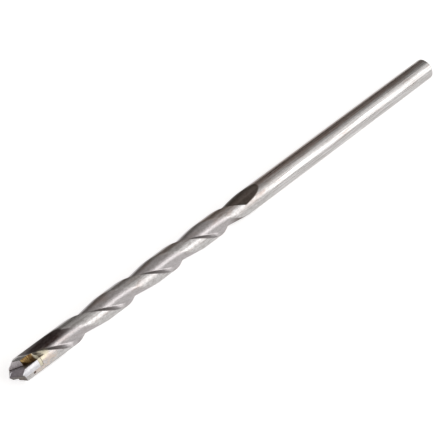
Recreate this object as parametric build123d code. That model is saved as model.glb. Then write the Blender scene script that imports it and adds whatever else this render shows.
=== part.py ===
"""Masonry drill bit: a fluted steel body with a carbide cutting plate brazed into its slotted end.

Every piece is drawn in the bit's own frame and then laid on its side as it rests on a flat surface.
In the bit's own frame the point is at the origin, +Z runs along the axis towards the shank end,
the cutting plate lies along X and its thickness is along Y. The half of the plate on +X cuts towards -Y.
All sizes are in millimetres, all angles in degrees.
"""

import math
import os

from build123d import *

# Overall sizes
bit_length = 150.0
body_diameter = 6.1
cutting_diameter = 6.5
shank_chamfer = 0.45

# Flutes: two right-hand grooves with a steep leading wall and a floor that climbs slowly to the land
flute_count = 2
flute_pitch = 32.0
flute_depth = 1.04
flute_width_angle = 117.5
wall_foot_angle = 30.0
wall_foot_fillet = 0.55
floor_middle_angle = 72.0
floor_middle_depth = 0.52
edge_in_line_with_plate = 12.1

# The wheel that grinds the flutes leaves its print where it enters the steel, and its rim is the rise
# of the flutes' floor where it leaves. The rim is a slight cone with a steep bevel towards the leading edge.
wheel_diameter = 114.0
wheel_rim_angle = 8.0
wheel_bevel_angle = 31.0
wheel_bevel_width = 4.0
wheel_offset_angle = 25.5
wheel_depth_radius = 1.96
wheel_front = 8.0
wheel_back = 72.9

# The wheel shapes the flute's floor along a line that runs from its middle towards the shank,
# and the flute's wall a little before its middle
contact_line_angle = 6.6
contact_line_length = 9.0
wall_contact_height = 1.5

# The fluted length is ground a little under the shank, with a short taper up to it
land_relief = 0.02
relief_taper_start = 83.2
relief_taper_length = 0.8

# Carbide cutting plate
plate_thickness = 1.8
plate_height = 6.7
point_angle = 120.0
leading_bevel_angle = 54.0
trailing_bevel_angle = 35.0

# Slot for the plate, and the brazing metal beside the plate and behind it
braze_film = 0.1
braze_pad = 1.0

# Cheek gash: one ground plane on the front of each steel cheek, falling towards the cutting side
gash_start = 3.3
gash_fall_angle = 47.7
gash_lift_angle = 28.8

# Chip notch: a ground notch in front of the cutting face, with a run-out towards the shank
notch_floor_reach = 1.15
notch_floor_angle = 25.0
notch_length = 6.2
notch_run_out_angle = 35.0
braze_fillet_radius = 0.9

# How the bit lies: the cutting half of the plate is turned this far down from straight up
roll_from_vertical = 55.9

# Working allowance by which cutting tools overshoot the steel
overshoot = 1.0

body_radius = body_diameter / 2
cutting_radius = cutting_diameter / 2
slot_width = plate_thickness + 2 * braze_film
slot_depth = plate_height + braze_pad
point_slope = 1 / math.tan(math.radians(point_angle / 2))
leading_slope = math.tan(math.radians(leading_bevel_angle))
trailing_slope = math.tan(math.radians(trailing_bevel_angle))
tool_size = 4 * cutting_diameter
wheel_rim_width = contact_line_length
helix_angle = math.degrees(math.atan(math.pi * body_diameter / flute_pitch))


def polar(radius, angle, height=0.0):
    """Point at a radius and an angle round the axis."""
    turn = math.radians(angle)
    return Vector(radius * math.cos(turn), radius * math.sin(turn), height)


def leading_edge_angle(height):
    """Angle of the first flute's leading edge at a distance from the point."""
    return 360 * (height - edge_in_line_with_plate) / flute_pitch


def flute_profile(height):
    """Cross-section of the first flute's groove, a face square to the axis at a distance from the point."""
    edge = leading_edge_angle(height)
    corner = polar(body_radius, edge)
    foot = polar(body_radius - flute_depth, edge - wall_foot_angle)
    floor_middle = polar(body_radius - floor_middle_depth, edge - floor_middle_angle)
    heel = polar(body_radius, edge - flute_width_angle)
    outside = body_radius + overshoot
    corner_out = corner + (corner - foot).normalized() * overshoot
    heel_out = polar(outside, edge - flute_width_angle - math.degrees(overshoot / body_radius))
    rim_middle = polar(outside + flute_depth, edge - flute_width_angle / 2)
    wall = Line(corner_out, foot)
    floor = ThreePointArc(foot, floor_middle, heel)
    rim = Line(heel, heel_out) + ThreePointArc(heel_out, rim_middle, corner_out)
    groove = make_face(wall + floor + rim)
    corner_at_foot = groove.vertices().sort_by_distance(foot)[0]
    return Pos(0, 0, height) * fillet(corner_at_foot, wall_foot_fillet)


def wheel_place(height):
    """Plane on the axis where the first flute's wheel stands: X points to the wheel, Z towards the shank."""
    outward = polar(1, leading_edge_angle(height) - wheel_offset_angle)
    return Plane(origin=(0, 0, height), x_dir=outward, z_dir=(0, 0, 1))


def wheel_rim(height, bevel_angle):
    """Rim of the first flute's grinding wheel where it stands at a distance from the point."""
    widest = wheel_diameter / 2
    rim_drop = wheel_rim_width * math.tan(math.radians(wheel_rim_angle))
    bevel_drop = wheel_bevel_width * math.tan(math.radians(bevel_angle))
    section = make_face(
        Polyline(
            (widest, 0), (widest - bevel_drop, wheel_bevel_width), (0, wheel_bevel_width),
            (0, -wheel_rim_width), (widest - rim_drop, -wheel_rim_width), close=True,
        )
    )
    centre = Pos(wheel_depth_radius + widest, 0, 0)
    return wheel_place(height) * centre * Rot(-helix_angle, 0, 0) * revolve(section, Axis.Y)


def beside_contact(height, side):
    """Block on one side of the wheel's contact line on the flute's floor, +1 towards the leading edge."""
    block = Box(tool_size, tool_size, 2 * (contact_line_length + overshoot))
    return wheel_place(height) * Rot(contact_line_angle, 0, 0) * Pos(0, side * tool_size / 2, 0) * block


def flute_tools():
    """Tools of the first flute: its helical length up to the rise at the back, and the print at the front."""
    start = wheel_front - wall_contact_height
    last_wall_contact = wheel_back - wall_contact_height
    length = wheel_back + contact_line_length - start
    groove = Solid.extrude_linear_with_rotation(
        flute_profile(start).face(), (0, 0, start), (0, 0, length), 360 * length / flute_pitch
    )
    towards_shank = Pos(0, 0, last_wall_contact + tool_size / 2) * Box(tool_size, tool_size, tool_size)
    floor_rise = (beside_contact(wheel_back, 1) & towards_shank) - wheel_rim(wheel_back, -wheel_rim_angle)
    groove -= beside_contact(wheel_front, -1)
    return [groove - floor_rise, wheel_rim(wheel_front, wheel_bevel_angle)]


def fluted_bar():
    """Round bar with its flutes and the chamfered shank end, before the head is cut."""
    land_radius = body_radius - land_relief
    shank_start = relief_taper_start + relief_taper_length
    outline = Polyline(
        (0, 0), (land_radius, 0), (land_radius, relief_taper_start), (body_radius, shank_start),
        (body_radius, bit_length), (0, bit_length), close=True,
    )
    bar = revolve(make_face(Plane.XZ * outline), Axis.Z)
    bar = chamfer(bar.edges().sort_by(Axis.Z)[-1], shank_chamfer)
    for tool in flute_tools():
        for count in range(flute_count):
            bar -= Rot(0, 0, 360 * count / flute_count) * tool
    return bar


def ground_plane(start, slope_x, slope_y):
    """Tool that removes everything in front of the plane z = start + slope_x x + slope_y y."""
    facing = Vector(slope_x, slope_y, -1)
    tool = Box(tool_size, tool_size, tool_size, align=(Align.CENTER, Align.CENTER, Align.MIN))
    return Plane(origin=(0, 0, start), z_dir=facing) * tool


def half_turns(tool):
    """A tool and its copy turned half round the axis, because the two sides of the head are alike."""
    return [tool, Rot(0, 0, 180) * tool]


def cheek_grinding():
    """Tools that grind the fronts of the two steel cheeks: a trailing bevel and a gash plane on each."""
    side = Pos(0, -tool_size / 2, 0) * Box(tool_size, tool_size, 2 * tool_size)
    gash_fall = math.tan(math.radians(gash_fall_angle))
    gash_lift = math.tan(math.radians(gash_lift_angle))
    bevel = ground_plane(0, -point_slope, -trailing_slope) & side
    gash = ground_plane(gash_start, gash_fall, gash_lift) & side
    return half_turns(bevel) + half_turns(gash)


def plate_grinding():
    """Tools that grind the roof-shaped point of the plate: a leading and a trailing bevel on each half."""
    side = Pos(tool_size / 2, 0, 0) * Box(tool_size, tool_size, 2 * tool_size)
    leading = ground_plane(0, point_slope, -leading_slope) & side
    trailing = ground_plane(0, point_slope, trailing_slope) & side
    return half_turns(leading) + half_turns(trailing)


def chip_notch(corner_radius=0.0):
    """Tool of the notch in front of the cutting face of the plate's +X half, with an optional round corner."""
    face = -plate_thickness / 2
    width = cutting_diameter
    outer = cutting_radius + overshoot
    rise = width * math.tan(math.radians(notch_floor_angle))
    corner = (notch_floor_reach, face)
    corners = [corner, (notch_floor_reach + rise, face - width), (outer + rise, face - width), (outer, face)]
    section = make_face(Polyline(*corners, close=True))
    if corner_radius > 0:
        section = fillet(section.vertices().sort_by_distance(corner)[0], corner_radius)
    groove = Pos(0, 0, -overshoot) * extrude(section, tool_size)
    run_out_slope = 1 / math.tan(math.radians(notch_run_out_angle))
    return groove & ground_plane(notch_length - run_out_slope * notch_floor_reach, run_out_slope, 0)


def plate_slot(width, depth):
    """Block across the head, centred on the plate, from in front of the point to a depth."""
    block = Box(tool_size, width, depth + overshoot, align=(Align.CENTER, Align.CENTER, Align.MIN))
    return Pos(0, 0, -overshoot) * block


def head_cavity():
    """Tools that open the head for the plate: its slot and the two chip notches."""
    return [plate_slot(slot_width, slot_depth)] + half_turns(chip_notch())


def cut(piece, tools):
    """A piece less each of the tools."""
    for tool in tools:
        piece -= tool
    return piece


def drill_body(bar):
    """Steel body: the fluted bar with its slot, chip notches and ground cheeks."""
    return cut(bar, head_cavity() + cheek_grinding())


def carbide_tip():
    """Cutting plate with its outer edges ground round and a roof-shaped point."""
    rounding = Cylinder(cutting_radius, plate_height, align=(Align.CENTER, Align.CENTER, Align.MIN))
    return cut(plate_slot(plate_thickness, plate_height) & rounding, plate_grinding())


def braze_filler(bar):
    """Brazing metal: it fills the slot round the plate and leaves a fillet in each chip notch."""
    space = Part() + head_cavity()
    filled = cut(bar & space, [plate_slot(plate_thickness, plate_height)])
    return cut(filled, cheek_grinding() + half_turns(chip_notch(braze_fillet_radius)))


def lay_down(piece):
    """Place a piece with the bit at rest on its side, the point towards -X and the origin below its middle."""
    lean = math.radians(roll_from_vertical)
    towards_plate = (0, -math.sin(lean), math.cos(lean))
    rest = Plane(origin=(-bit_length / 2, 0, body_radius), x_dir=towards_plate, z_dir=(1, 0, 0))
    return rest * piece


def main():
    """Build each piece, lay it down and write it."""
    os.makedirs("parts", exist_ok=True)
    bar = fluted_bar()
    pieces = {
        "drill_body": drill_body(bar),
        "carbide_tip": carbide_tip(),
        "braze_filler": braze_filler(bar),
    }
    for name, piece in pieces.items():
        export_step(lay_down(piece), f"parts/{name}.step")


main()
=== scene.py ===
"""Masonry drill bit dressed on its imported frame: a ground steel body, a carbide plate and brazing metal.

The bit's own frame has the point at the origin and +Z towards the shank end, the plate along X and its
thickness along Y, in millimetres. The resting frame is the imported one, in metres, with the bit on its side.
"""

import logging
import math
from dataclasses import dataclass
from enum import Enum
from typing import Sequence

import bmesh
import bpy
import numpy as np
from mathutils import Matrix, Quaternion, Vector


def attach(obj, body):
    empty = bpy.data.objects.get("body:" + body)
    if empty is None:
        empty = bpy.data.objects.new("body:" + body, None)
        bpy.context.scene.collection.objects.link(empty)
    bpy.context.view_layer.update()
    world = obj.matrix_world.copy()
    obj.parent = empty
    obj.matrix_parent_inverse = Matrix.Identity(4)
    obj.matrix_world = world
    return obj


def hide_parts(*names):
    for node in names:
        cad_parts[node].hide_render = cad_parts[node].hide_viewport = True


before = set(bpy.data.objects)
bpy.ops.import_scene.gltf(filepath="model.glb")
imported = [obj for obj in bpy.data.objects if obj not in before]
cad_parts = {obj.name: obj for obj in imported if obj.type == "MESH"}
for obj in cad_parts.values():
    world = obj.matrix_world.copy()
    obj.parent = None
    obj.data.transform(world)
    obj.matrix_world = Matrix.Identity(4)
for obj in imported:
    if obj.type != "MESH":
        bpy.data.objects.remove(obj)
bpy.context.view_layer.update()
log = logging.getLogger("masonry drill bit")

MM = 0.001
MM_PER_METRE = 1000.0
# Distance in millimetres that stands for no surface at all
FAR_OUT = 50.0
Socket = bpy.types.NodeSocket
Colour = tuple[float, float, float]
Range = tuple[float, float]


class Term:
    """A number in a node tree. Arithmetic on terms adds the math nodes that work it out."""

    def __init__(self, tree: bpy.types.NodeTree, socket: Socket) -> None:
        """Keep the tree and the socket that carries the number."""
        self.tree = tree
        self.socket = socket

    def math(self, operation: str, *others: "Term | float") -> "Term":
        """Add one math node that starts from this number.

        Args:
            operation: the math node's operation.
            others: its further operands, terms or plain numbers.

        Returns:
            The node's result.
        """
        node = self.tree.nodes.new("ShaderNodeMath")
        node.operation = operation
        for slot, operand in zip(node.inputs, (self, *others)):
            if isinstance(operand, Term):
                self.tree.links.new(operand.socket, slot)
            else:
                slot.default_value = operand
        return Term(self.tree, node.outputs[0])

    def number(self, value: float) -> "Term":
        """A constant in the same tree.

        Args:
            value: the constant.

        Returns:
            Its term.
        """
        node = self.tree.nodes.new("ShaderNodeValue")
        node.outputs[0].default_value = value
        return Term(self.tree, node.outputs[0])

    def __add__(self, other: "Term | float") -> "Term":
        """Sum."""
        return self.math("ADD", other)

    def __sub__(self, other: "Term | float") -> "Term":
        """Difference."""
        return self.math("SUBTRACT", other)

    def __mul__(self, other: "Term | float") -> "Term":
        """Product."""
        return self.math("MULTIPLY", other)

    def __truediv__(self, other: "Term | float") -> "Term":
        """Quotient."""
        return self.math("DIVIDE", other)

    def __neg__(self) -> "Term":
        """The number with its sign turned."""
        return self.math("MULTIPLY", -1.0)

    def above(self, other: "Term | float") -> "Term":
        """1 where the number is greater than the other, else 0."""
        return self.math("GREATER_THAN", other)

    def below(self, other: "Term | float") -> "Term":
        """1 where the number is less than the other, else 0."""
        return self.math("LESS_THAN", other)

    def at_least(self, other: "Term | float") -> "Term":
        """The greater of the two."""
        return self.math("MAXIMUM", other)

    def at_most(self, other: "Term | float") -> "Term":
        """The lesser of the two."""
        return self.math("MINIMUM", other)

    def cos(self) -> "Term":
        """Cosine of an angle in radians."""
        return self.math("COSINE")

    def sin(self) -> "Term":
        """Sine of an angle in radians."""
        return self.math("SINE")

    def root(self) -> "Term":
        """Square root."""
        return self.math("SQRT")

    def rest(self) -> "Term":
        """What is left of 1."""
        return self * -1.0 + 1.0

    def choose(self, when_one: "Term", when_zero: "Term") -> "Term":
        """One of two numbers by whether this term is 1 or 0, and a blend of them in between."""
        return self * when_one + self.rest() * when_zero

    def from_direction(self, direction: float) -> "Term":
        """Angle from a direction or its opposite, whichever is nearer, up to a quarter turn either way."""
        turned = self - direction + 4.5 * math.pi
        return turned.math("FLOORED_MODULO", math.pi) - 0.5 * math.pi

    def band(self, start: float, stop: float) -> "Term":
        """Smooth step between two values, which may run downwards.

        Args:
            start: the value up to which the result is 0.
            stop: the value from which it is 1.

        Returns:
            The result.
        """
        node = self.tree.nodes.new("ShaderNodeMapRange")
        node.interpolation_type = "SMOOTHSTEP"
        self.tree.links.new(self.socket, node.inputs["Value"])
        node.inputs["From Min"].default_value = start
        node.inputs["From Max"].default_value = stop
        if start > stop:
            node.inputs["From Min"].default_value, node.inputs["From Max"].default_value = stop, start
            node.inputs["To Min"].default_value, node.inputs["To Max"].default_value = 1.0, 0.0
        return Term(self.tree, node.outputs["Result"])


@dataclass(frozen=True)
class BitFrame:
    """Where the bit lies: its length, radius and how far its cutting half is turned from straight up."""

    length: float = 150.0
    radius: float = 3.05
    roll: float = math.radians(55.9)

    def lay(self, x: float, y: float, z: float) -> Vector:
        """A point of the bit's own frame in the resting frame.

        Args:
            x: along the plate.
            y: along the plate's thickness.
            z: distance from the point along the axis.

        Returns:
            The point in metres.
        """
        lean, rise = math.sin(self.roll), math.cos(self.roll)
        side = -x * lean - y * rise
        up = self.radius + x * rise - y * lean
        return Vector((z - self.length / 2, side, up)) * MM


BIT = BitFrame()


@dataclass(frozen=True)
class Prism:
    """Straight-sided tool: an outline across the axis, from in front of the point to a slanted top."""

    outline: tuple[tuple[float, float], ...]
    height: float
    slope_x: float = 0.0
    slope_y: float = 0.0
    bottom: float = -20.0

    def opposite(self) -> "Prism":
        """The same tool turned half round the axis."""
        outline = tuple((-x, -y) for x, y in self.outline)
        return Prism(outline, self.height, -self.slope_x, -self.slope_y, self.bottom)

    def add_to(self, mesh: bmesh.types.BMesh) -> None:
        """Add the tool's closed solid to a mesh in the resting frame.

        Args:
            mesh: the mesh under construction.
        """
        top, low = [], []
        for x, y in self.outline:
            top.append(mesh.verts.new(BIT.lay(x, y, self.height + self.slope_x * x + self.slope_y * y)))
            low.append(mesh.verts.new(BIT.lay(x, y, self.bottom)))
        count = len(top)
        mesh.faces.new(top)
        mesh.faces.new(low[::-1])
        for i in range(count):
            j = (i + 1) % count
            mesh.faces.new((top[i], low[i], low[j], top[j]))


def add_object(name: str, mesh: bmesh.types.BMesh) -> bpy.types.Object:
    """Turn a mesh under construction into an object.

    Args:
        name: the object's name.
        mesh: the mesh, freed here.

    Returns:
        The new object at the origin.
    """
    data = bpy.data.meshes.new(name)
    mesh.to_mesh(data)
    mesh.free()
    piece = bpy.data.objects.new(name, data)
    bpy.context.scene.collection.objects.link(piece)
    return piece


def new_piece(name: str, mesh: bmesh.types.BMesh) -> bpy.types.Object:
    """Turn a mesh under construction into an object, with its faces turned outwards."""
    bmesh.ops.recalc_face_normals(mesh, faces=mesh.faces[:])
    return add_object(name, mesh)


def settle(piece: bpy.types.Object) -> None:
    """Make a piece's modifiers part of its mesh and take them off.

    Args:
        piece: the object with the modifiers.
    """
    depsgraph = bpy.context.evaluated_depsgraph_get()
    data = bpy.data.meshes.new_from_object(piece.evaluated_get(depsgraph), depsgraph=depsgraph)
    piece.modifiers.clear()
    spare = piece.data
    piece.data = data
    data.name = piece.name
    bpy.data.meshes.remove(spare)


class Cut(Enum):
    """What a set of tools does to a piece."""

    AWAY = "DIFFERENCE"
    KEEP = "INTERSECT"


def cut(piece: bpy.types.Object, tools: Sequence[Prism], how: Cut = Cut.AWAY) -> None:
    """Cut a piece with a set of tools at once, exactly.

    Args:
        piece: the object whose mesh is cut.
        tools: the prisms, which may overlap each other.
        how: whether the tools' space is cut away or kept.
    """
    mesh = bmesh.new()
    for tool in tools:
        tool.add_to(mesh)
    cutter = new_piece("cutter", mesh)
    modifier = piece.modifiers.new("cut", "BOOLEAN")
    modifier.operation = how.value
    modifier.solver = "EXACT"
    modifier.use_self = True
    modifier.object = cutter
    settle(piece)
    data = cutter.data
    bpy.data.objects.remove(cutter)
    bpy.data.meshes.remove(data)


def smooth_by_angle(piece: bpy.types.Object, degrees: float) -> None:
    """Shade a piece smooth, with an edge kept sharp where its faces meet at more than an angle."""
    piece.data.shade_smooth()
    piece.data.set_sharp_from_angle(angle=math.radians(degrees))


def dress(piece: bpy.types.Object, finishes: Sequence[bpy.types.Material]) -> None:
    """Give a piece a new list of finishes.

    Args:
        piece: the object.
        finishes: the finishes, in the order that its faces count them in.
    """
    piece.data.materials.clear()
    for finish in finishes:
        piece.data.materials.append(finish)


class BodyFace(Enum):
    """Kinds of face on the body, by the place of their finish in its list of materials."""

    BAR = 0
    GASH = 1
    BEVEL = 2


class PlateFace(Enum):
    """Kinds of face on the plate, by the place of their finish in its list of materials."""

    SIDE = 0
    LEADING_BEVEL = 1
    TRAILING_BEVEL = 2
    OUTER_EDGE = 3


class Recipe:
    """The node tree of one finish, with short calls for the nodes it needs."""

    def __init__(self, name: str) -> None:
        """Start an empty material that reads Object coordinates.

        Args:
            name: the material's name.
        """
        self.material = bpy.data.materials.new(name)
        self.material.use_nodes = True
        self.tree = self.material.node_tree
        self.tree.nodes.clear()
        place = self.tree.nodes.new("ShaderNodeTexCoord").outputs["Object"]
        parts = self.tree.nodes.new("ShaderNodeSeparateXYZ")
        self.tree.links.new(place, parts.inputs[0])
        x, y, z = (Term(self.tree, parts.outputs[i]) for i in range(3))
        self.height = x * MM_PER_METRE + BIT.length / 2
        self.side = y * MM_PER_METRE
        self.up = z * MM_PER_METRE - BIT.radius
        self.reach = (self.side * self.side + self.up * self.up).root()
        self.turn = (-self.side).math("ARCTAN2", self.up)

    def point(self, x: Term, y: Term, z: Term) -> Socket:
        """A position made of three numbers.

        Args:
            x: the first of them.
            y: the second.
            z: the third.

        Returns:
            The position.
        """
        node = self.tree.nodes.new("ShaderNodeCombineXYZ")
        for slot, value in zip(node.inputs, (x, y, z)):
            self.tree.links.new(value.socket, slot)
        return node.outputs[0]

    def unwound(self, pitch: float, stretch: float) -> Socket:
        """Position with the flutes' twist taken out, stretched along the axis.

        Args:
            pitch: the flutes' lead in millimetres.
            stretch: how many times longer than wide a pattern on it is.

        Returns:
            A position in millimetres.
        """
        turn = self.turn - self.height * (2 * math.pi / pitch)
        return self.point(self.height / stretch, turn.cos() * self.reach, turn.sin() * self.reach)

    def squeezed(self, along: float, across: float) -> Socket:
        """Position in millimetres, scaled along and across the axis."""
        return self.point(self.height * along, self.side * across, self.up * across)

    def noise(self, vector: Socket, scale: float, detail: float, roughness: float) -> Term:
        """Noise between 0 and 1 on a position.

        Args:
            vector: the position it is read on.
            scale: how many bumps fit in one unit of it.
            detail: how many finer layers it has.
            roughness: how strong the finer layers are.

        Returns:
            The noise.
        """
        node = self.tree.nodes.new("ShaderNodeTexNoise")
        self.tree.links.new(vector, node.inputs["Vector"])
        node.inputs["Scale"].default_value = scale
        node.inputs["Detail"].default_value = detail
        node.inputs["Roughness"].default_value = roughness
        return Term(self.tree, node.outputs["Fac"])

    def plain(self, colour: Colour) -> Socket:
        """One colour, the same all over.

        Args:
            colour: its red, green and blue.

        Returns:
            The colour's socket.
        """
        node = self.tree.nodes.new("ShaderNodeRGB")
        node.outputs[0].default_value = (*colour, 1.0)
        return node.outputs[0]

    def mix(self, amount: Term, below: Socket, above: Socket) -> Socket:
        """Lay one colour over another.

        Args:
            amount: how much of the upper one shows, between 0 and 1.
            below: the lower colour.
            above: the upper colour.

        Returns:
            The mixed colour.
        """
        node = self.tree.nodes.new("ShaderNodeMix")
        node.data_type = "RGBA"
        node.clamp_factor = True
        colours = [slot for slot in node.inputs if slot.type == "RGBA"]
        self.tree.links.new(amount.socket, node.inputs[0])
        self.tree.links.new(below, colours[0])
        self.tree.links.new(above, colours[1])
        return [slot for slot in node.outputs if slot.type == "RGBA"][0]

    def bump(self, height: Term, distance: float, strength: float) -> Socket:
        """Normal of a surface whose height varies.

        Args:
            height: the height between 0 and 1.
            distance: what 1 stands for, in metres.
            strength: how much of it shows.

        Returns:
            The normal.
        """
        node = self.tree.nodes.new("ShaderNodeBump")
        node.inputs["Strength"].default_value = strength
        node.inputs["Distance"].default_value = distance
        self.tree.links.new(height.socket, node.inputs["Height"])
        return node.outputs["Normal"]

    def surface(
        self, colour: Socket, metallic: Term | float, roughness: Term, normal: Socket
    ) -> bpy.types.Material:
        """Finish the material.

        Args:
            colour: the base colour.
            metallic: how metallic it is, the same all over where it is a plain number.
            roughness: the roughness over the surface.
            normal: the bumped normal.

        Returns:
            The material.
        """
        shader = self.tree.nodes.new("ShaderNodeBsdfPrincipled")
        self.tree.links.new(colour, shader.inputs["Base Color"])
        if isinstance(metallic, Term):
            self.tree.links.new(metallic.socket, shader.inputs["Metallic"])
        else:
            shader.inputs["Metallic"].default_value = metallic
        self.tree.links.new(roughness.socket, shader.inputs["Roughness"])
        self.tree.links.new(normal, shader.inputs["Normal"])
        output = self.tree.nodes.new("ShaderNodeOutputMaterial")
        self.tree.links.new(shader.outputs[0], output.inputs["Surface"])
        return self.material


@dataclass(frozen=True)
class Pattern:
    """Noise on a finish: how often it changes along and across the axis, and how fine its detail is."""

    along: float
    across: float
    scale: float = 1.0
    detail: float = 3.0
    roughness: float = 0.6

    def draw(self, r: Recipe) -> Term:
        """The noise, between 0 and 1."""
        return r.noise(r.squeezed(self.along, self.across), self.scale, self.detail, self.roughness)


@dataclass(frozen=True)
class StainAndShadeOval:
    """Oval mark, the same on both sides of the bar: a stain, except in the run-out pockets, where it is
    painted shade.

    It has its centre at a height in millimetres and a turn in degrees, and reaches as far along the bar
    as long says and as far round it as wide says. Its rim is a share of that reach.
    """

    height: float
    turn: float
    long: float
    wide: float
    rim: float

    def cover(self, r: Recipe) -> Term:
        """How far the oval covers the surface.

        Args:
            r: the recipe it is drawn in.

        Returns:
            1 inside the oval, 0 outside.
        """
        along = (r.height - self.height) / self.long
        apart = r.turn.from_direction(math.radians(self.turn)) / math.radians(self.wide)
        return (along * along + apart * apart).band(1.0 + self.rim, 1.0 - self.rim)


@dataclass(frozen=True)
class GroundSteel:
    """Satin ground steel: fine marks, mottling, rust partly painted as shade on top, brazing heat tint and
    flux, and painted shade at the flutes' ends.
    """

    light: Colour = (0.64, 0.63, 0.625)
    dark: Colour = (0.40, 0.38, 0.37)
    floor_grey: Colour = (0.38, 0.345, 0.355)
    # Rust-brown, which along the top is partly painted shade
    warm: Colour = (0.36, 0.24, 0.19)
    cream: Colour = (0.80, 0.73, 0.54)
    tan: Colour = (0.74, 0.62, 0.54)
    gold: Colour = (0.29, 0.20, 0.08)
    brown: Colour = (0.09, 0.045, 0.02)
    # Dark browns painted as shade: at the flutes' starts near the head, and in the run-outs and their pockets
    flute_start_painted_shade: Colour = (0.055, 0.036, 0.033)
    run_out_painted_shade: Colour = (0.125, 0.10, 0.083)
    pit: Colour = (0.07, 0.03, 0.02)
    mottle: Pattern = Pattern(0.7, 1.0, 1.5, 5.0, 0.75)
    lines: Pattern = Pattern(0.08, 3.4)
    grain: Pattern = Pattern(1.0, 1.0, 2.6, 4.0, 0.7)
    patches: Pattern = Pattern(1.1, 1.3, 1.1, 3.0, 0.65)
    # Rust-brown streaks, kept to the top side, where they are partly painted shade
    rust_and_shade_streaks: Pattern = Pattern(0.12, 0.5)
    stripes: Pattern = Pattern(2.2, 0.6)
    cream_stain: StainAndShadeOval = StainAndShadeOval(7.6, 20.0, 2.9, 36.0, 0.4)
    tan_stain: StainAndShadeOval = StainAndShadeOval(8.0, 70.0, 3.6, 38.0, 0.5)
    flux_stain: StainAndShadeOval = StainAndShadeOval(4.7, 8.0, 1.7, 30.0, 0.15)
    # Oval of painted shade in the run-out pockets
    pocket_shade_oval: StainAndShadeOval = StainAndShadeOval(75.2, -6.0, 6.35, 49.0, 0.1)
    pit_stain: StainAndShadeOval = StainAndShadeOval(5.0, 84.6, 0.34, 6.5, 0.4)
    rust_stain: StainAndShadeOval = StainAndShadeOval(100.0, -18.0, 60.0, 24.0, 0.6)
    pitch: float = 32.0
    streak_stretch: float = 5.0
    streak_scale: float = 4.0
    groove_depth: Range = (0.05, 0.15)
    plain_start: Range = (81.0, 87.0)
    # Where the painted shade lies: the flutes' starts near the head, and the run-outs
    print_turn: float = math.radians(-15.7)
    print_spread: Range = (-0.1, 0.7)
    print_start: Range = (4.5, 8.0)
    print_fade: Range = (22.0, 14.0)
    run_out_start: Range = (68.0, 72.5)
    shaded_top_rise: Range = (0.5, 2.4)
    smoothest: float = 0.18
    mark_roughness: float = 0.14
    shade_area_roughness: float = 0.12
    relief_height: float = 0.00006
    relief_strength: float = 0.6

    def painted_shade_cover(self, r: Recipe, sunk: Term) -> tuple[Term, Term]:
        """How far painted shade covers the flutes' starts and their run-outs.

        Args:
            r: the recipe it is drawn in.
            sunk: 1 in the flutes, 0 on the bar's skin.

        Returns:
            The cover at the starts and at the run-outs.
        """
        # Painted shade at the flutes' starts where they face near straight up and down, and in the run-outs
        # and their pockets
        facing = ((r.turn - self.print_turn) * 2.0).cos().band(*self.print_spread)
        front = r.height.band(*self.print_start) * r.height.band(*self.print_fade) * facing * sunk
        oval = self.pocket_shade_oval.cover(r) * r.height.above(self.pocket_shade_oval.height)
        back = (r.height.band(*self.run_out_start) * sunk).at_least(oval)
        return front, back

    def rust_and_top_shade(self, r: Recipe, patches: Term, skin: Term) -> Term:
        """How far rust-brown covers the steel: in streaks along its top, partly painted shade there, and in
        patches, mostly on the shank.
        """
        # The streaks only show on the bar's top side as it lies, where they also paint shade
        streaks = self.rust_and_shade_streaks.draw(r).band(0.48, 0.70) * r.up.band(*self.shaded_top_rise)
        return (streaks * 0.4).at_least(self.rust_stain.cover(r) * (patches * 0.9 + 0.1) * skin)

    def brazed(self, r: Recipe) -> Socket:
        """Colour of the flux and brazing metal burned on the notch, gold and brown in stripes."""
        stripes = self.stripes.draw(r).band(0.40, 0.62)
        return r.mix(stripes, r.plain(self.brown), r.plain(self.gold))

    def material(self) -> bpy.types.Material:
        """Build the material.

        Returns:
            The material.
        """
        r = Recipe("ground steel")
        shallow, deep = self.groove_depth
        sunk = r.reach.band(BIT.radius - shallow, BIT.radius - deep)
        skin = sunk.rest()
        plain = r.height.band(*self.plain_start)
        mottle, grain = self.mottle.draw(r), self.grain.draw(r)
        patches, lines = self.patches.draw(r), self.lines.draw(r)
        streaks = r.noise(r.unwound(self.pitch, self.streak_stretch), self.streak_scale, 3.0, 0.6)
        marks = sunk.choose(streaks * 0.4 + grain * 0.6, lines)
        front, back = self.painted_shade_cover(r, sunk)
        tan = self.tan_stain.cover(r) * patches.band(0.62, 0.44) * skin
        cream = self.cream_stain.cover(r) * patches.band(0.30, 0.48)

        tone = plain.choose(lines * 0.6 + mottle * 0.2 + 0.12, mottle * 0.45 + marks * 0.3 + grain * 0.25)
        colour = r.mix(tone.band(0.40, 0.60), r.plain(self.dark), r.plain(self.light))
        colour = r.mix(sunk * (mottle * 0.5 + 0.25), colour, r.plain(self.floor_grey))
        # Rust-brown, partly painted shade along the top
        colour = r.mix(self.rust_and_top_shade(r, patches, skin), colour, r.plain(self.warm))
        colour = r.mix(tan * 0.75, colour, r.plain(self.tan))
        colour = r.mix(cream * 0.85, colour, r.plain(self.cream))
        colour = r.mix(self.flux_stain.cover(r) * sunk, colour, self.brazed(r))
        cover = (mottle * 0.6 + 0.62).at_most(1.0)
        # Painted shade: dark brown over the flutes' starts, run-outs and pockets
        colour = r.mix(front * cover, colour, r.plain(self.flute_start_painted_shade))
        colour = r.mix(back * cover, colour, r.plain(self.run_out_painted_shade))
        colour = r.mix(self.pit_stain.cover(r), colour, r.plain(self.pit))

        uneven = (plain * -0.7 + 1.0) * mottle * self.mark_roughness
        shade_area_rough = front.at_least(back) * self.shade_area_roughness
        roughness = marks * self.mark_roughness + uneven + shade_area_rough + self.smoothest
        metallic = cream.at_least(tan) * (sunk * -0.3 - 0.55) + 1.0
        relief = (marks * 0.6 + grain * 0.4) * (plain * -0.88 + 1.0)
        normal = r.bump(relief, self.relief_height, self.relief_strength)
        return r.surface(colour, metallic, roughness, normal)


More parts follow.
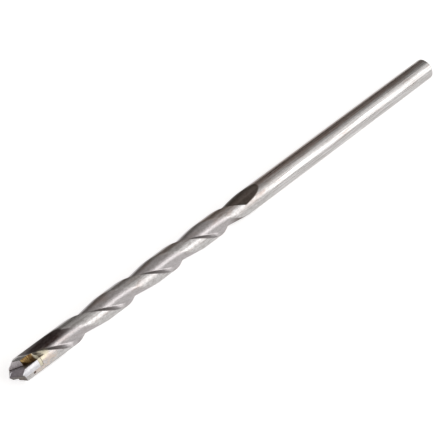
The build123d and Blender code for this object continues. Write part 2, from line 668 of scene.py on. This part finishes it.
@dataclass(frozen=True)
class RoughGroundSteel:
    """Dull steel of the cheeks' rough-ground fronts, used in a lighter copy as painted light and a darker
    copy as painted shade.
    """

    name: str
    light: Colour
    dark: Colour
    metal: float
    scratches: Pattern = Pattern(5.0, 1.2)
    grain: Pattern = Pattern(1.0, 1.0, 3.0)
    smoothest: float = 0.38
    scratch_height: float = 0.00003

    def material(self) -> bpy.types.Material:
        """Build the material.

        Returns:
            The material.
        """
        r = Recipe(self.name)
        scratches = self.scratches.draw(r)
        tone = (scratches * 0.6 + self.grain.draw(r) * 0.4).band(0.38, 0.62)
        colour = r.mix(tone, r.plain(self.dark), r.plain(self.light))
        roughness = scratches * 0.2 + self.smoothest
        return r.surface(colour, self.metal, roughness, r.bump(scratches, self.scratch_height, 0.6))


@dataclass(frozen=True)
class SinteredCarbide:
    """Ground carbide, mottled between two greys and finely scratched."""

    name: str
    light: Colour
    dark: Colour
    metal: float = 1.0
    mottle: Pattern = Pattern(1.0, 1.0, 1.6, 4.0)
    scratches: Pattern = Pattern(9.0, 1.6)
    smoothest: float = 0.28
    scratch_height: float = 0.000015

    def material(self) -> bpy.types.Material:
        """Build the material.

        Returns:
            The material.
        """
        r = Recipe(self.name)
        scratches = self.scratches.draw(r)
        tone = (self.mottle.draw(r) * 0.6 + scratches * 0.4).band(0.38, 0.62)
        colour = r.mix(tone, r.plain(self.dark), r.plain(self.light))
        roughness = scratches * 0.15 + self.smoothest
        return r.surface(colour, self.metal, roughness, r.bump(scratches, self.scratch_height, 0.5))


@dataclass(frozen=True)
class BrazedMetal:
    """Brazing metal: gold where it is clean, brown where flux burned on it, pale behind the plate.

    It is brown again at its end.
    """

    gold: Colour = (0.27, 0.18, 0.07)
    brown: Colour = (0.10, 0.05, 0.02)
    pale: Colour = (0.84, 0.79, 0.62)
    stripes: Pattern = Pattern(2.2, 0.6)
    mottle: Pattern = Pattern(1.0, 1.0, 2.4, 4.0)
    pale_start: Range = (6.5, 7.1)
    end_line: float = 7.6
    end_softness: float = 0.08
    smoothest: float = 0.3
    relief_height: float = 0.00012

    def material(self) -> bpy.types.Material:
        """Build the material.

        Returns:
            The material.
        """
        r = Recipe("brazing metal")
        stripes, mottle = self.stripes.draw(r), self.mottle.draw(r)
        pale = r.height.band(*self.pale_start)
        end = r.height.band(self.end_line - self.end_softness, self.end_line)
        tone = (stripes * 0.75 + mottle * 0.25).band(0.42, 0.6)
        colour = r.mix(tone, r.plain(self.brown), r.plain(self.gold))
        colour = r.mix(pale * 0.85, colour, r.plain(self.pale))
        colour = r.mix(end * 0.8, colour, r.plain(self.brown))
        roughness = mottle * 0.25 + self.smoothest
        relief = stripes * 0.6 + mottle * 0.4
        return r.surface(colour, pale * -0.6 + 1.0, roughness, r.bump(relief, self.relief_height, 0.7))


# Sizes that the tree of the fluted bar takes, in the order in which the bar gives them
ROLLING_SIZES = ("Pitch", "Edge In Line", "Twist End", "Roll", "Half Length", "Axis Height")


@dataclass
class FlutedBody:
    """Steel body: a bar whose skin follows the rule of its flutes, with a slotted and ground head."""

    flute_pitch: float = 32.0
    flute_depth: float = 1.04
    flute_width: float = math.radians(117.5)
    foot_angle: float = math.radians(19.0)
    foot_softness: float = 0.2
    middle_angle: float = math.radians(72.0)
    middle_depth: float = 0.52
    edge_in_line: float = 12.1
    edge_softness: float = 0.035
    relief: float = 0.02
    taper: Range = (83.2, 84.0)
    chamfer: float = 0.45
    wheel_radius: float = 57.0
    rim_slope: float = math.tan(math.radians(8.0))
    bevel_slope: float = math.tan(math.radians(31.0))
    wheel_offset: float = math.radians(25.5)
    wheel_depth: float = 1.96
    wheel_front: float = 8.0
    wheel_back: float = 72.9
    contact_slope: float = math.tan(math.radians(6.6))
    contact_length: float = 10.0
    wall_contact: float = 1.5
    cheek_end: float = 5.5
    facing_front: float = -0.3
    facing_gash: float = 0.99
    sharp_from: float = 24.0
    heel_margin: float = 0.05
    least_divisor: float = 0.001
    least_cosine: float = 0.01
    column_nudge: float = 0.00001
    chamfer_softness: float = 0.04
    column_spans: tuple[tuple[float, float, int], ...] = (
        (-180.0, -179.2, 1), (-179.2, -121.0, 15), (-121.0, -114.0, 5), (-114.0, -42.0, 26),
        (-42.0, -18.0, 14), (-18.0, -2.4, 8), (-2.4, 0.0, 3),
    )
    row_spans: tuple[tuple[float, float, int], ...] = (
        (0.0, 20.0, 160), (20.0, 69.0, 130), (69.0, 84.2, 120), (84.2, 149.4, 5), (149.4, 150.0, 8),
    )
    bar_finish: GroundSteel = GroundSteel()
    # Lighter, less metallic copy of the rough-ground steel on the gashes: painted light
    painted_light_gash_finish: RoughGroundSteel = RoughGroundSteel(
        "gash steel painted light", light=(0.95, 0.895, 0.915), dark=(0.74, 0.69, 0.71), metal=0.2
    )
    # Darker copy on the cheeks' other ground fronts: painted shade
    painted_shade_bevel_finish: RoughGroundSteel = RoughGroundSteel(
        "bevel steel painted shade", light=(0.22, 0.195, 0.18), dark=(0.12, 0.10, 0.09), metal=0.8
    )

    def steps(self, spans: Sequence[tuple[float, float, int]]) -> list[float]:
        """Values at even steps within each span, its start with them and its end not.

        Args:
            spans: the start, the end and the number of steps of each.

        Returns:
            The values.
        """
        values: list[float] = []
        for start, stop, count in spans:
            values += list(np.linspace(start, stop, count, endpoint=False))
        return values

    def columns(self) -> list[float]:
        """Angles of the skin's columns round half a turn, measured back from a flute's leading edge."""
        return [math.radians(angle) for angle in self.steps(self.column_spans)]

    def rows(self, stop: float) -> list[float]:
        """Distances of the skin's rows from the point, up to a last one."""
        return [height for height in self.steps(self.row_spans) if height < stop] + [stop]

    def unrolled_skin(self, stop: float) -> bpy.types.Object:
        """Closed net of the skin: each point holds its angle, its height and its share of the radius.

        Args:
            stop: the height of the last row.

        Returns:
            The net.
        """
        half = self.columns()
        angles = half + [a + math.pi for a in half]
        mesh = bmesh.new()
        rings = [[mesh.verts.new((a, z, 1.0)) for a in angles] for z in self.rows(stop)]
        count = len(angles)
        for low, high in zip(rings, rings[1:]):
            for i in range(count):
                j = (i + 1) % count
                mesh.faces.new((low[i], low[j], high[j], high[i]))
        for ring, height in ((rings[0], 0.0), (rings[-1], stop)):
            centre = mesh.verts.new((0.0, height, 0.0))
            for i in range(count):
                mesh.faces.new((ring[i], centre, ring[(i + 1) % count]))
        return add_object("drill_body_steel", mesh)

    def wall_line(self) -> tuple[float, float]:
        """Where the flute's wall lies in the cross-section.

        Returns:
            Its distance from the axis and its direction from the leading edge's.
        """
        corner = np.array([BIT.radius, 0.0])
        inner = BIT.radius - self.flute_depth
        foot = inner * np.array([math.cos(self.foot_angle), -math.sin(self.foot_angle)])
        along = (corner - foot) / np.linalg.norm(corner - foot)
        normal = np.array([along[1], -along[0]])
        distance = float(normal @ corner)
        return distance, math.atan2(normal[1], normal[0])

    def floor_circle(self) -> tuple[float, float, float]:
        """Circle of the flute's floor in the cross-section.

        Returns:
            The distance and direction of its centre, and its radius.
        """
        foot = (self.flute_depth, self.foot_angle)
        middle = (self.middle_depth, self.middle_angle)
        heel = (0.0, self.flute_width)
        points = []
        for depth, angle in (foot, middle, heel):
            reach = BIT.radius - depth
            points.append((reach * math.cos(angle), -reach * math.sin(angle)))
        system = [[2 * x, 2 * y, 1.0] for x, y in points]
        values = [x * x + y * y for x, y in points]
        cx, cy, rest = np.linalg.solve(np.array(system), np.array(values))
        return float(math.hypot(cx, cy)), math.atan2(cy, cx), float(math.sqrt(rest + cx * cx + cy * cy))

    def wheel_surface(self, angle: Term, height: Term, slope: float) -> Term:
        """Distance from the axis at which a ray meets one cone of the grinding wheel.

        Args:
            angle: the ray's angle from the wheel's direction.
            height: the ray's height from the wheel's middle.
            slope: the cone's rise towards the leading edge.

        Returns:
            The distance in millimetres, large where the ray misses the cone.
        """
        setting = math.atan(2 * math.pi * BIT.radius / self.flute_pitch)
        ca, sa, radius = math.cos(setting), math.sin(setting), self.wheel_radius
        across = angle.sin()
        square = across * across * (sa * sa / (2 * radius))
        linear = across * height * (ca * sa / radius) + across * (slope * ca) - angle.cos()
        constant = height * height * (ca * ca / (2 * radius)) - height * (slope * sa) + self.wheel_depth
        inside = linear * linear - square * constant * 4.0
        divisor = (inside.at_least(0.0).root() - linear).at_least(self.least_divisor)
        return constant * 2.0 / divisor + inside.below(0.0) * FAR_OUT

    def section(self, back: Term) -> Term:
        """Cross-section of a flute, where no wheel print changes it.

        Args:
            back: angle behind the leading edge, from minus half a turn to zero.

        Returns:
            The skin's distance from the axis in millimetres.
        """
        wall_distance, wall_direction = self.wall_line()
        centre, direction, radius = self.floor_circle()
        wall_cosine = (back - wall_direction).cos().at_least(self.least_cosine)
        wall = back.number(wall_distance) / wall_cosine
        lean = back - direction
        chord = (lean.sin() * lean.sin() * (-centre * centre) + radius * radius).at_least(0.0).root()
        floor = lean.cos() * centre + chord
        groove = wall.math("SMOOTH_MAX", floor, self.foot_softness)
        return groove + back.below(-self.flute_width - self.heel_margin) * FAR_OUT

    def skin_radius(self, back: Term, turn: Term, height: Term) -> Term:
        """Distance of the bar's skin from the axis.

        Args:
            back: angle behind the leading edge of the flute, from minus half a turn to zero.
            turn: angle in the bit's own frame.
            height: distance from the point.

        Returns:
            The distance in millimetres.
        """
        twist = 2 * math.pi / self.flute_pitch
        groove = self.section(back)
        at_front = height - self.wheel_front
        at_back = height - self.wheel_back
        front_angle = back + self.wheel_offset + at_front * twist
        back_angle = back + self.wheel_offset + at_back * twist
        beside_front = (groove * front_angle.sin() + at_front * self.contact_slope).below(0.0)
        before_front = at_front.below(-self.wall_contact)
        uncut = (beside_front * at_front.below(self.contact_length)).at_least(before_front)
        beside_back = (groove * back_angle.sin() + at_back * self.contact_slope).above(0.0)
        rising = beside_back * at_back.above(-self.wall_contact)
        rim_back = self.wheel_surface(back_angle, at_back, -self.rim_slope)
        groove = groove.at_least(rising * rim_back)
        groove = groove + uncut * FAR_OUT + at_back.above(self.contact_length) * FAR_OUT
        print_direction = twist * (self.wheel_front - self.edge_in_line) - self.wheel_offset
        print_angle = turn.from_direction(print_direction)
        rim_front = self.wheel_surface(print_angle, at_front, -self.rim_slope)
        bevel_front = self.wheel_surface(print_angle, at_front, self.bevel_slope)
        entry = rim_front.at_least(bevel_front)
        taper = (height - self.taper[0]) / (self.taper[1] - self.taper[0])
        land = taper.at_least(0.0).at_most(1.0) * self.relief + (BIT.radius - self.relief)
        chamfer = -height + (BIT.length + BIT.radius - self.chamfer)
        land = land.math("SMOOTH_MIN", chamfer, self.chamfer_softness)
        return groove.at_most(entry).math("SMOOTH_MIN", land, self.edge_softness)

    def rolling_tree(self) -> bpy.types.NodeTree:
        """Geometry Nodes tree that rolls the net up into the fluted bar.

        Returns:
            The tree.
        """
        tree = bpy.data.node_groups.new("fluted bar", "GeometryNodeTree")
        tree.interface.new_socket(name="Net", in_out="INPUT", socket_type="NodeSocketGeometry")
        for name in ROLLING_SIZES:
            tree.interface.new_socket(name=name, in_out="INPUT", socket_type="NodeSocketFloat")
        tree.interface.new_socket(name="Steel", in_out="INPUT", socket_type="NodeSocketMaterial")
        tree.interface.new_socket(name="Bar", in_out="OUTPUT", socket_type="NodeSocketGeometry")
        start = tree.nodes.new("NodeGroupInput")
        given = {name: Term(tree, start.outputs[name]) for name in ROLLING_SIZES}
        place = tree.nodes.new("ShaderNodeSeparateXYZ")
        tree.links.new(tree.nodes.new("GeometryNodeInputPosition").outputs[0], place.inputs[0])
        column, height, share = (Term(tree, place.outputs[i]) for i in range(3))
        turned = column + 4 * math.pi + self.column_nudge
        back = turned.math("FLOORED_MODULO", math.pi) - math.pi
        twisted = height.at_most(given["Twist End"]) - given["Edge In Line"]
        turn = column + twisted / given["Pitch"] * (2 * math.pi)
        radius = self.skin_radius(back, turn, height) * share
        world = turn + given["Roll"]
        join = tree.nodes.new("ShaderNodeCombineXYZ")
        up = radius * world.cos() + given["Axis Height"]
        for slot, part in zip(join.inputs, (height - given["Half Length"], -(radius * world.sin()), up)):
            tree.links.new((part * MM).socket, slot)
        moved = tree.nodes.new("GeometryNodeSetPosition")
        tree.links.new(start.outputs["Net"], moved.inputs["Geometry"])
        tree.links.new(join.outputs[0], moved.inputs["Position"])
        real = tree.nodes.new("GeometryNodeRealizeInstances")
        tree.links.new(moved.outputs[0], real.inputs[0])
        coat = tree.nodes.new("GeometryNodeSetMaterial")
        tree.links.new(real.outputs[0], coat.inputs["Geometry"])
        tree.links.new(start.outputs["Steel"], coat.inputs["Material"])
        end = tree.nodes.new("NodeGroupOutput")
        tree.links.new(coat.outputs[0], end.inputs["Bar"])
        return tree

    def bar(self, steel: bpy.types.Material, stop: float = BIT.length) -> bpy.types.Object:
        """The bar before its head is cut, as a plain mesh.

        Args:
            steel: the material it starts with.
            stop: how far from the point it reaches.

        Returns:
            The bar.
        """
        net = self.unrolled_skin(stop)
        tree = self.rolling_tree()
        sizes = (self.flute_pitch, self.edge_in_line, self.taper[1], BIT.roll, BIT.length / 2, BIT.radius)
        values = {**dict(zip(ROLLING_SIZES, sizes)), "Steel": steel}
        modifier = net.modifiers.new("fluted bar", "NODES")
        modifier.node_group = tree
        for item in tree.interface.items_tree:
            if item.in_out == "INPUT" and item.name in values:
                modifier[item.identifier] = values[item.name]
        settle(net)
        mesh = bmesh.new()
        mesh.from_mesh(net.data)
        bmesh.ops.recalc_face_normals(mesh, faces=mesh.faces[:])
        mesh.to_mesh(net.data)
        mesh.free()
        return net

    def build(self, head: "HeadTools") -> bpy.types.Object:
        """Make the body with its head cut.

        Args:
            head: the tools that open and grind the head.

        Returns:
            The finished piece.
        """
        steel = self.bar_finish.material()
        body = self.bar(steel)
        cut(body, head.cavity() + head.cheeks())
        dress(body, [steel, self.painted_light_gash_finish.material(), self.painted_shade_bevel_finish.material()])
        gash = (BIT.lay(head.gash_fall, head.gash_lift, -1.0) - BIT.lay(0.0, 0.0, 0.0)).normalized()
        for face in body.data.polygons:
            face.material_index = self.kind_of(face, gash).value
        smooth_by_angle(body, self.sharp_from)
        return body

    def kind_of(self, face: bpy.types.MeshPolygon, gash: Vector) -> BodyFace:
        """Kind of a face of the body.

        Args:
            face: the face.
            gash: the direction that the first cheek's gash faces. The second one's is turned half round.

        Returns:
            Its kind.
        """
        behind_cheeks = face.center.x >= BIT.lay(0.0, 0.0, self.cheek_end).x
        if behind_cheeks or face.normal.x >= self.facing_front:
            return BodyFace.BAR
        turned = Vector((face.normal.x, -face.normal.y, -face.normal.z))
        along_gash = max(face.normal.dot(gash), turned.dot(gash))
        return BodyFace.GASH if along_gash > self.facing_gash else BodyFace.BEVEL


@dataclass(frozen=True)
class HeadTools:
    """The cuts in the head: the plate's slot, the chip notches, the ground cheeks and the plate's bevels.

    A ground plane is given by its height on the axis and its slopes along and across the plate.
    """

    plate_thickness: float = 1.8
    plate_height: float = 6.7
    cutting_radius: float = 3.25
    point_slope: float = 1 / math.tan(math.radians(60.0))
    leading_slope: float = math.tan(math.radians(54.0))
    trailing_slope: float = math.tan(math.radians(35.0))
    braze_film: float = 0.1
    braze_pad: float = 1.0
    gash_start: float = 3.3
    gash_fall: float = math.tan(math.radians(47.7))
    gash_lift: float = math.tan(math.radians(28.8))
    notch_reach: float = 1.05
    notch_floor: float = math.tan(math.radians(14.0))
    notch_length: float = 6.2
    notch_run_out: float = 1 / math.tan(math.radians(35.0))
    fillet_radius: float = 1.6
    crown: tuple[tuple[float, float, float], ...] = ((0.22, -0.52, -0.31), (-1.97, -1.0, -1.46))
    worn: tuple[float, float, float] = (-0.38, 0.146, 1.25)
    corner_steps: int = 20
    overshoot: float = 1.0
    size: float = 26.0
    far_front: float = -60.0
    overlap: float = 0.001

    def slab(self, thickness: float, depth: float) -> Prism:
        """Block across the head, centred on the plate, down to a depth."""
        s, t = self.size, thickness / 2
        return Prism(((-s, -t), (s, -t), (s, t), (-s, t)), depth)

    def notch(self, corner_radius: float = 0.0) -> Prism:
        """Chip notch in front of one cutting face.

        Args:
            corner_radius: the radius of its inner corner, or 0 for a sharp one.

        Returns:
            The tool.
        """
        face, width = -self.plate_thickness / 2, 2 * self.cutting_radius
        rise = width * self.notch_floor
        outer = self.cutting_radius + self.overshoot
        inner = [(self.notch_reach, face)]
        if corner_radius > 0:
            inner = self.rounded_corner(corner_radius)
        far_side = ((self.notch_reach + rise, face - width), (outer + rise, face - width))
        start = self.notch_length - self.notch_run_out * self.notch_reach
        return Prism((*inner, *far_side, (outer, face)), start, self.notch_run_out)

    def rounded_corner(self, radius: float) -> list[tuple[float, float]]:
        """Inner corner of the notch, rounded.

        Args:
            radius: the corner's radius.

        Returns:
            Its points, from the plate's side to the floor's.
        """
        face = -self.plate_thickness / 2
        floor_angle = math.atan(self.notch_floor)
        corner = np.array([self.notch_reach, face])
        along_face = np.array([1.0, 0.0])
        along_floor = np.array([math.sin(floor_angle), -math.cos(floor_angle)])
        between = math.acos(float(along_face @ along_floor))
        bisector = along_face + along_floor
        bisector /= np.linalg.norm(bisector)
        centre = corner + bisector * radius / math.sin(between / 2)
        points = []
        for step in range(self.corner_steps + 1):
            turn = math.pi / 2 + (math.pi - between) * step / self.corner_steps
            x, y = centre + radius * np.array([math.cos(turn), math.sin(turn)])
            points.append((float(x), float(y)))
        return points

    def cavity(self) -> list[Prism]:
        """Tools that open the head for the plate.

        Returns:
            The tools.
        """
        slot = self.slab(self.plate_thickness + 2 * self.braze_film, self.plate_height + self.braze_pad)
        notch = self.notch()
        return [slot, notch, notch.opposite()]

    def cheeks(self) -> list[Prism]:
        """Tools that grind the fronts of the cheeks: the upper rounder, the lower worn further back.

        Returns:
            The tools.
        """
        s, front = self.size, self.far_front
        upper = ((-s, -s), (s, -s), (s, 0.0), (-s, 0.0))
        lower = ((-s, 0.0), (s, 0.0), (s, s), (-s, s))
        crown = [Prism(upper, *plane, front) for plane in self.crown]
        bevel = Prism(upper, 0.0, -self.point_slope, -self.trailing_slope, front)
        gash = Prism(upper, self.gash_start, self.gash_fall, self.gash_lift, front)
        return [*crown, bevel.opposite(), gash, gash.opposite(), Prism(lower, *self.worn, front)]

    def plate_bevels(self) -> list[Prism]:
        """Tools that grind the roof-shaped point of the plate.

        Returns:
            The tools.
        """
        s = self.size
        side = ((-self.overlap, -s), (s, -s), (s, s), (-self.overlap, s))
        leading = Prism(side, 0.0, self.point_slope, -self.leading_slope, self.far_front)
        trailing = Prism(side, 0.0, self.point_slope, self.trailing_slope, self.far_front)
        return [leading, leading.opposite(), trailing, trailing.opposite()]


@dataclass
class CuttingPlate:
    """Carbide plate with its outer edges ground round and small worn edges, painted light on its outer edges
    and painted shade on its trailing bevels.
    """

    head: HeadTools
    worn_edge: float = 0.05
    worn_edge_steps: int = 2
    worn_from: float = 20.0
    sharp_from: float = 40.0
    outer_edge_points: int = 13
    overshoot: float = 0.5
    facing_front: float = -0.3
    facing_far_front: float = -0.65
    facing_outwards: float = 0.85
    finishes: tuple[SinteredCarbide, ...] = (
        SinteredCarbide("ground carbide", (0.56, 0.55, 0.57), (0.42, 0.40, 0.43)),
        SinteredCarbide("leading bevel carbide", (0.46, 0.42, 0.46), (0.34, 0.31, 0.34)),
        # Darker copy of the carbide on the trailing bevels: painted shade
        SinteredCarbide("trailing bevel carbide painted shade", (0.17, 0.15, 0.14), (0.10, 0.09, 0.085)),
        # Lighter, less metallic copy on the outer edges: painted light
        SinteredCarbide("outer edge carbide painted light", (0.82, 0.82, 0.84), (0.66, 0.65, 0.69), 0.45),
    )

    def build(self) -> bpy.types.Object:
        """Make the plate.

        Returns:
            The finished piece.
        """
        radius, half = self.head.cutting_radius, self.head.plate_thickness / 2
        reach = math.asin(half / radius)
        angles = np.linspace(-reach, reach, self.outer_edge_points)
        right = [(radius * math.cos(angle), radius * math.sin(angle)) for angle in angles]
        outline = tuple(right + [(-x, -y) for x, y in right])
        mesh = bmesh.new()
        Prism(outline, self.head.plate_height, bottom=-self.overshoot).add_to(mesh)
        plate = new_piece("carbide_plate", mesh)
        cut(plate, self.head.plate_bevels())
        bevel = plate.modifiers.new("worn edges", "BEVEL")
        bevel.width = self.worn_edge * MM
        bevel.segments = self.worn_edge_steps
        bevel.limit_method = "ANGLE"
        bevel.angle_limit = math.radians(self.worn_from)
        settle(plate)
        dress(plate, [finish.material() for finish in self.finishes])
        for face in plate.data.polygons:
            face.material_index = self.kind_of(face.normal).value
        smooth_by_angle(plate, self.sharp_from)
        return plate

    def kind_of(self, normal: Vector) -> PlateFace:
        """Kind of a face of the plate.

        Args:
            normal: the direction that the face looks in.

        Returns:
            Its kind.
        """
        across = normal.z * math.cos(BIT.roll) - normal.y * math.sin(BIT.roll)
        if normal.x < self.facing_far_front:
            return PlateFace.TRAILING_BEVEL
        if normal.x < self.facing_front:
            return PlateFace.LEADING_BEVEL
        return PlateFace.OUTER_EDGE if abs(across) > self.facing_outwards else PlateFace.SIDE


@dataclass
class BrazingMetal:
    """Brazing metal: the film in the slot and the hollow fillet before each cutting face."""

    head: HeadTools
    body: FlutedBody
    blank_length: float = 9.0
    finish: BrazedMetal = BrazedMetal()

    def build(self) -> bpy.types.Object:
        """Make the filler from the bar's own skin, so that it is flush with the steel.

        Returns:
            The finished piece.
        """
        metal = self.finish.material()
        filler = self.body.bar(metal, self.blank_length)
        filler.name = "braze_fillet"
        cut(filler, self.head.cavity(), Cut.KEEP)
        rounded = self.head.notch(self.head.fillet_radius)
        plate = self.head.slab(self.head.plate_thickness + 2 * self.head.overlap, self.head.plate_height)
        cut(filler, [plate] + self.head.cheeks() + [rounded, rounded.opposite()])
        dress(filler, [metal])
        smooth_by_angle(filler, self.body.sharp_from)
        return filler


@dataclass(frozen=True)
class PaleFloor:
    """Plain floor that keeps the shadow of what lies on it.

    It is lifted to white for the camera, and less far where the bit mirrors it.
    """

    tone: float = 0.85
    lift: float = 0.68
    mirrored_lift: float = 0.50

    def material(self) -> bpy.types.Material:
        """Build the material.

        Returns:
            The material.
        """
        material = bpy.data.materials.new("pale floor")
        material.use_nodes = True
        tree = material.node_tree
        tree.nodes.clear()
        paths = tree.nodes.new("ShaderNodeLightPath").outputs
        mirrored = Term(tree, paths["Is Glossy Ray"]).at_least(Term(tree, paths["Is Transmission Ray"]))
        seen = Term(tree, paths["Is Camera Ray"])
        paint = tree.nodes.new("ShaderNodeBsdfDiffuse")
        paint.inputs["Color"].default_value = (self.tone, self.tone, self.tone, 1.0)
        glow = tree.nodes.new("ShaderNodeEmission")
        strength = (seen * self.lift).at_least(mirrored * self.mirrored_lift)
        tree.links.new(strength.socket, glow.inputs["Strength"])
        both = tree.nodes.new("ShaderNodeAddShader")
        tree.links.new(paint.outputs[0], both.inputs[0])
        tree.links.new(glow.outputs[0], both.inputs[1])
        output = tree.nodes.new("ShaderNodeOutputMaterial")
        tree.links.new(both.outputs[0], output.inputs["Surface"])
        return material


@dataclass(frozen=True)
class SoftBox:
    """One soft rectangular lamp: where it stands from the bit's middle, its size and its brightness."""

    name: str
    direction: tuple[float, float, float]
    distance: float
    width: float
    depth: float
    brightness: float

    def place(self) -> None:
        """Add the lamp, turned to the bit's middle."""
        data = bpy.data.lights.new(self.name, "AREA")
        data.shape = "RECTANGLE"
        data.size, data.size_y = self.width, self.depth
        data.energy = self.brightness * math.pi * self.width * self.depth
        lamp = bpy.data.objects.new(self.name, data)
        away = Vector(self.direction).normalized()
        lamp.location = away * self.distance
        lamp.rotation_euler = away.to_track_quat("Z", "Y").to_euler()
        bpy.context.scene.collection.objects.link(lamp)


@dataclass
class Studio:
    """Floor, soft lamps, surroundings that brighten upwards, and the camera.

    The camera was fitted to the head, the back pocket and the shank end of the bit in the photograph.
    The fit took the bit's length as given, so the match at the shank end doesn't confirm it.
    """

    eye: tuple[float, float, float] = (-0.173924, -0.159890, 0.250309)
    aim: tuple[float, float, float] = (-0.006761, 0.000338, 0.003023)
    tilt: float = math.radians(0.598)
    lens: float = 110.912
    nearest: float = 0.01
    horizon: float = 0.10
    zenith: float = 0.30
    surround: Colour = (1.0, 0.95, 0.91)
    floor_size: float = 3.0
    floor: PaleFloor = PaleFloor()
    lamps: tuple[SoftBox, ...] = (
        SoftBox("front lamp", (0.48, -0.78, 0.36), 1.0, 1.8, 0.58, 1.95),
        SoftBox("upper lamp", (0.48, -0.55, 0.72), 1.1, 1.8, 0.60, 0.75),
        SoftBox("top lamp", (0.3, 0.05, 0.95), 1.2, 1.6, 0.9, 0.20),
        SoftBox("back lamp", (-0.45, 0.75, 0.50), 1.1, 0.9, 0.7, 0.22),
    )

    def lay_floor(self) -> None:
        """Add the floor below the bit."""
        half = self.floor_size / 2
        mesh = bmesh.new()
        corners = ((-half, -half), (half, -half), (half, half), (-half, half))
        mesh.faces.new([mesh.verts.new((x, y, 0.0)) for x, y in corners])
        floor = new_piece("floor", mesh)
        dress(floor, [self.floor.material()])

    def light(self) -> None:
        """Add the lamps and the surroundings."""
        for lamp in self.lamps:
            lamp.place()
        world = bpy.data.worlds.new("surroundings")
        world.use_nodes = True
        tree = world.node_tree
        background = tree.nodes["Background"]
        background.inputs["Color"].default_value = (*self.surround, 1.0)
        parts = tree.nodes.new("ShaderNodeSeparateXYZ")
        tree.links.new(tree.nodes.new("ShaderNodeTexCoord").outputs["Generated"], parts.inputs[0])
        rise = Term(tree, parts.outputs[2]).band(0.0, 1.0) * (self.zenith - self.horizon) + self.horizon
        tree.links.new(rise.socket, background.inputs["Strength"])
        bpy.context.scene.world = world

    def set_camera(self) -> None:
        """Add the camera and look at the bit."""
        data = bpy.data.cameras.new("camera")
        data.lens = self.lens
        data.clip_start = self.nearest
        camera = bpy.data.objects.new("camera", data)
        camera.location = self.eye
        view = Vector(self.aim) - Vector(self.eye)
        upright = view.to_track_quat("-Z", "Y")
        camera.rotation_euler = (upright @ Quaternion((0.0, 0.0, 1.0), self.tilt)).to_euler()
        bpy.context.scene.collection.objects.link(camera)
        bpy.context.scene.camera = camera

    def set_up(self) -> None:
        """Prepare the whole scene round the bit."""
        self.lay_floor()
        self.light()
        self.set_camera()
        bpy.context.scene.view_settings.view_transform = "Standard"


def report(piece: bpy.types.Object, node: str) -> None:
    """Tell the frame what a piece stands for and log how many triangles it has.

    Args:
        piece: the finished piece.
        node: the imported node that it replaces.
    """
    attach(piece, "root")
    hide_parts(node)
    triangles = sum(len(face.vertices) - 2 for face in piece.data.polygons)
    log.info("%s stands for %s with %d triangles", piece.name, node, triangles)


def main() -> None:
    """Build the bit piece by piece and set up the studio."""
    logging.basicConfig(level=logging.INFO, format="%(name)s: %(message)s")
    head = HeadTools()
    body = FlutedBody()
    report(body.build(head), "drill_body")
    report(CuttingPlate(head).build(), "carbide_tip")
    report(BrazingMetal(head, body).build(), "braze_filler")
    Studio().set_up()


if __name__ == "__main__":
    main()
